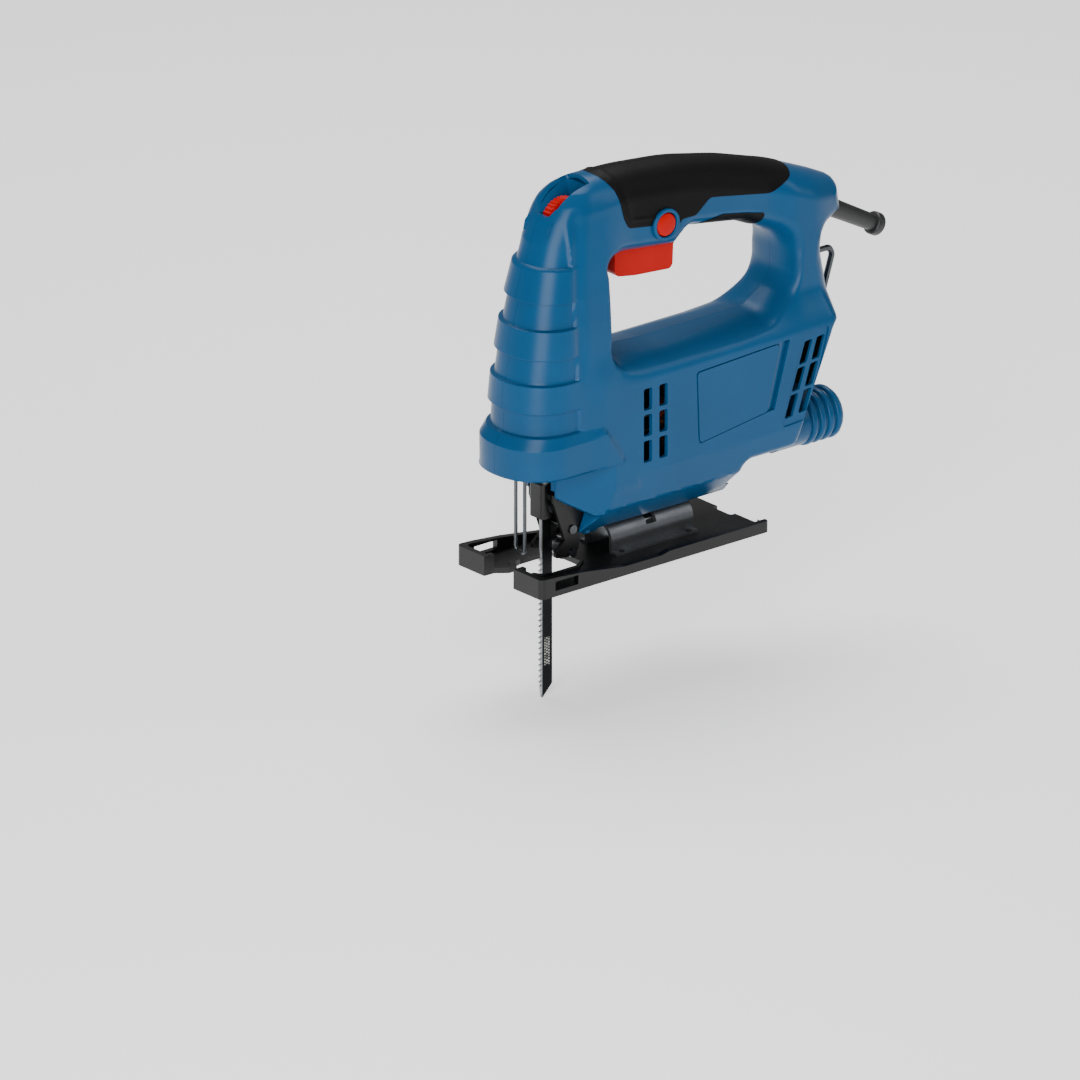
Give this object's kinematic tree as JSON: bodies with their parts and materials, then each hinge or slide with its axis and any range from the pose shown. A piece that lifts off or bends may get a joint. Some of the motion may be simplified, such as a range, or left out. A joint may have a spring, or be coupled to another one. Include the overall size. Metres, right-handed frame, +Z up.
{
  "type": "jigsaw",
  "caption": "Corded jigsaw with a D-handle, ribbed front grip, fitted blade, tilting slotted base plate, trigger, speed dial and rear dust port.",
  "frame": {"origin": "where the blade's centre line crosses the sole plane", "axes": "-X is the tool's front, -Y its left side, +Z up, away from the work"},
  "size_m": [0.2552, 0.067, 0.2741],
  "materials": {
    "black_plastic": "matte",
    "blade_steel": "dark blade finish",
    "board_green": "circuit board",
    "boot_rubber": "matte",
    "bright_steel": "bright turned",
    "bronze": "sintered bronze",
    "carbon": "pressed carbon",
    "control_red": "satin moulded",
    "copper": "enamelled copper wire",
    "die_cast": "as cast",
    "grip_black": "soft matte overmould",
    "housing_blue": "fine moulded texture, satin",
    "laminated_iron": "laminated, varnished",
    "painted_steel_black": "satin black coat",
    "saddle_steel": "plain pressed",
    "steel": "machined",
    "zinc_steel": "zinc plated"
  },
  "bodies": {
    "housing": {"housing_left": "housing_blue", "housing_right": "housing_blue", "housing_screws": "zinc_steel", "grip_left": "grip_black", "grip_right": "grip_black", "name_panel": "housing_blue", "dust_port": "housing_blue", "cord_boot": "boot_rubber", "key_clip": "housing_blue", "trigger_pin": "steel", "switch_body": "black_plastic", "switch_terminals": "bronze", "lock_ring": "housing_blue", "dial_axle": "steel", "speed_board": "board_green", "stator_core": "laminated_iron", "field_coils": "copper", "front_bearing": "steel", "rear_bearing": "steel", "brush_holders": "bronze", "carbon_brushes": "carbon", "brush_springs": "steel", "gear_axle": "steel", "gear_frame": "die_cast", "lower_bush": "bronze", "upper_bush": "bronze", "guide_bracket": "painted_steel_black", "roller_axle": "bright_steel", "roller_spacers": "steel", "bracket_pin": "bright_steel", "guard_wire": "bright_steel", "clamp_plate": "zinc_steel", "base_screw": "zinc_steel"},
    "trigger": {"trigger": "control_red"},
    "switch_plunger": {"switch_plunger": "black_plastic"},
    "lock_button": {"lock_on_button": "control_red", "lock_spring": "steel"},
    "speed_dial": {"speed_dial": "control_red"},
    "hex_key": {"hex_key": "zinc_steel"},
    "guide_roller": {"guide_roller": "steel"},
    "base": {"base_plate": "painted_steel_black", "tilt_saddle": "saddle_steel", "saddle_rivets": "painted_steel_black"},
    "crank": {"drive_gear": "steel", "crank_pin": "steel", "crank_roller": "steel"},
    "plunger": {"plunger": "steel", "yoke": "steel", "blade_clamp": "painted_steel_black", "clamp_screws": "zinc_steel", "saw_blade": "blade_steel"},
    "armature": {"armature_shaft": "steel", "armature_core": "laminated_iron", "armature_windings": "copper", "commutator": "copper", "cooling_fan": "black_plastic", "pinion": "steel"}
  },
  "joints": [
    {"name": "base_tilt", "type": "hinge", "parent": "housing", "child": "base", "pos_m": [0.062, 0, 0.008], "axis": [1, 0, 0], "range_deg": [-45, 45]},
    {"name": "trigger_pivot", "type": "hinge", "parent": "housing", "child": "trigger", "pos_m": [0.076, 0, 0.169], "axis": [0, 1, 0], "range_deg": [0, 7], "stiffness_Nm_per_rad": 1.5, "springref_deg": -5.73},
    {"name": "switch_plunger_slide", "type": "slide", "parent": "housing", "child": "switch_plunger", "axis": [0, 0, 1], "range_m": [0, 0.0033]},
    {"name": "lock_button_press", "type": "slide", "parent": "housing", "child": "lock_button", "axis": [0, 1, 0], "range_m": [0, 0.0035], "stiffness_N_per_m": 400, "springref_m": -0.001},
    {"name": "speed_dial_turn", "type": "hinge", "parent": "housing", "child": "speed_dial", "pos_m": [0.0115, 0, 0.1843], "axis": [0, 1, 0], "range_deg": [0, 300]},
    {"name": "hex_key_pull", "type": "slide", "parent": "housing", "child": "hex_key", "axis": [1, 0, 0], "range_m": [0, 0.024]},
    {"name": "guide_roller_spin", "type": "hinge", "parent": "housing", "child": "guide_roller", "pos_m": [0.0096, 0, 0.009], "axis": [0, 1, 0], "continuous": true},
    {"name": "crank_turn", "type": "hinge", "parent": "housing", "child": "crank", "pos_m": [0.0205, 0, 0.0942], "axis": [1, 0, 0], "range_deg": [-90, 90]},
    {"name": "blade_stroke", "type": "slide", "parent": "housing", "child": "plunger", "axis": [0, 0, 1], "range_m": [-0.0091, 0.0091]},
    {"name": "armature_spin", "type": "hinge", "parent": "housing", "child": "armature", "pos_m": [0.087, 0, 0.07], "axis": [1, 0, 0], "range_deg": [-511, 511]}
  ],
  "couplings": [
    {"joint": "switch_plunger_slide", "follows": "trigger_pivot", "m_per_rad": 0.026},
    {"joint": "blade_stroke", "follows": "crank_turn", "m_per_rad": 0.00573},
    {"joint": "armature_spin", "follows": "crank_turn", "ratio": -5.6667}
  ]
}
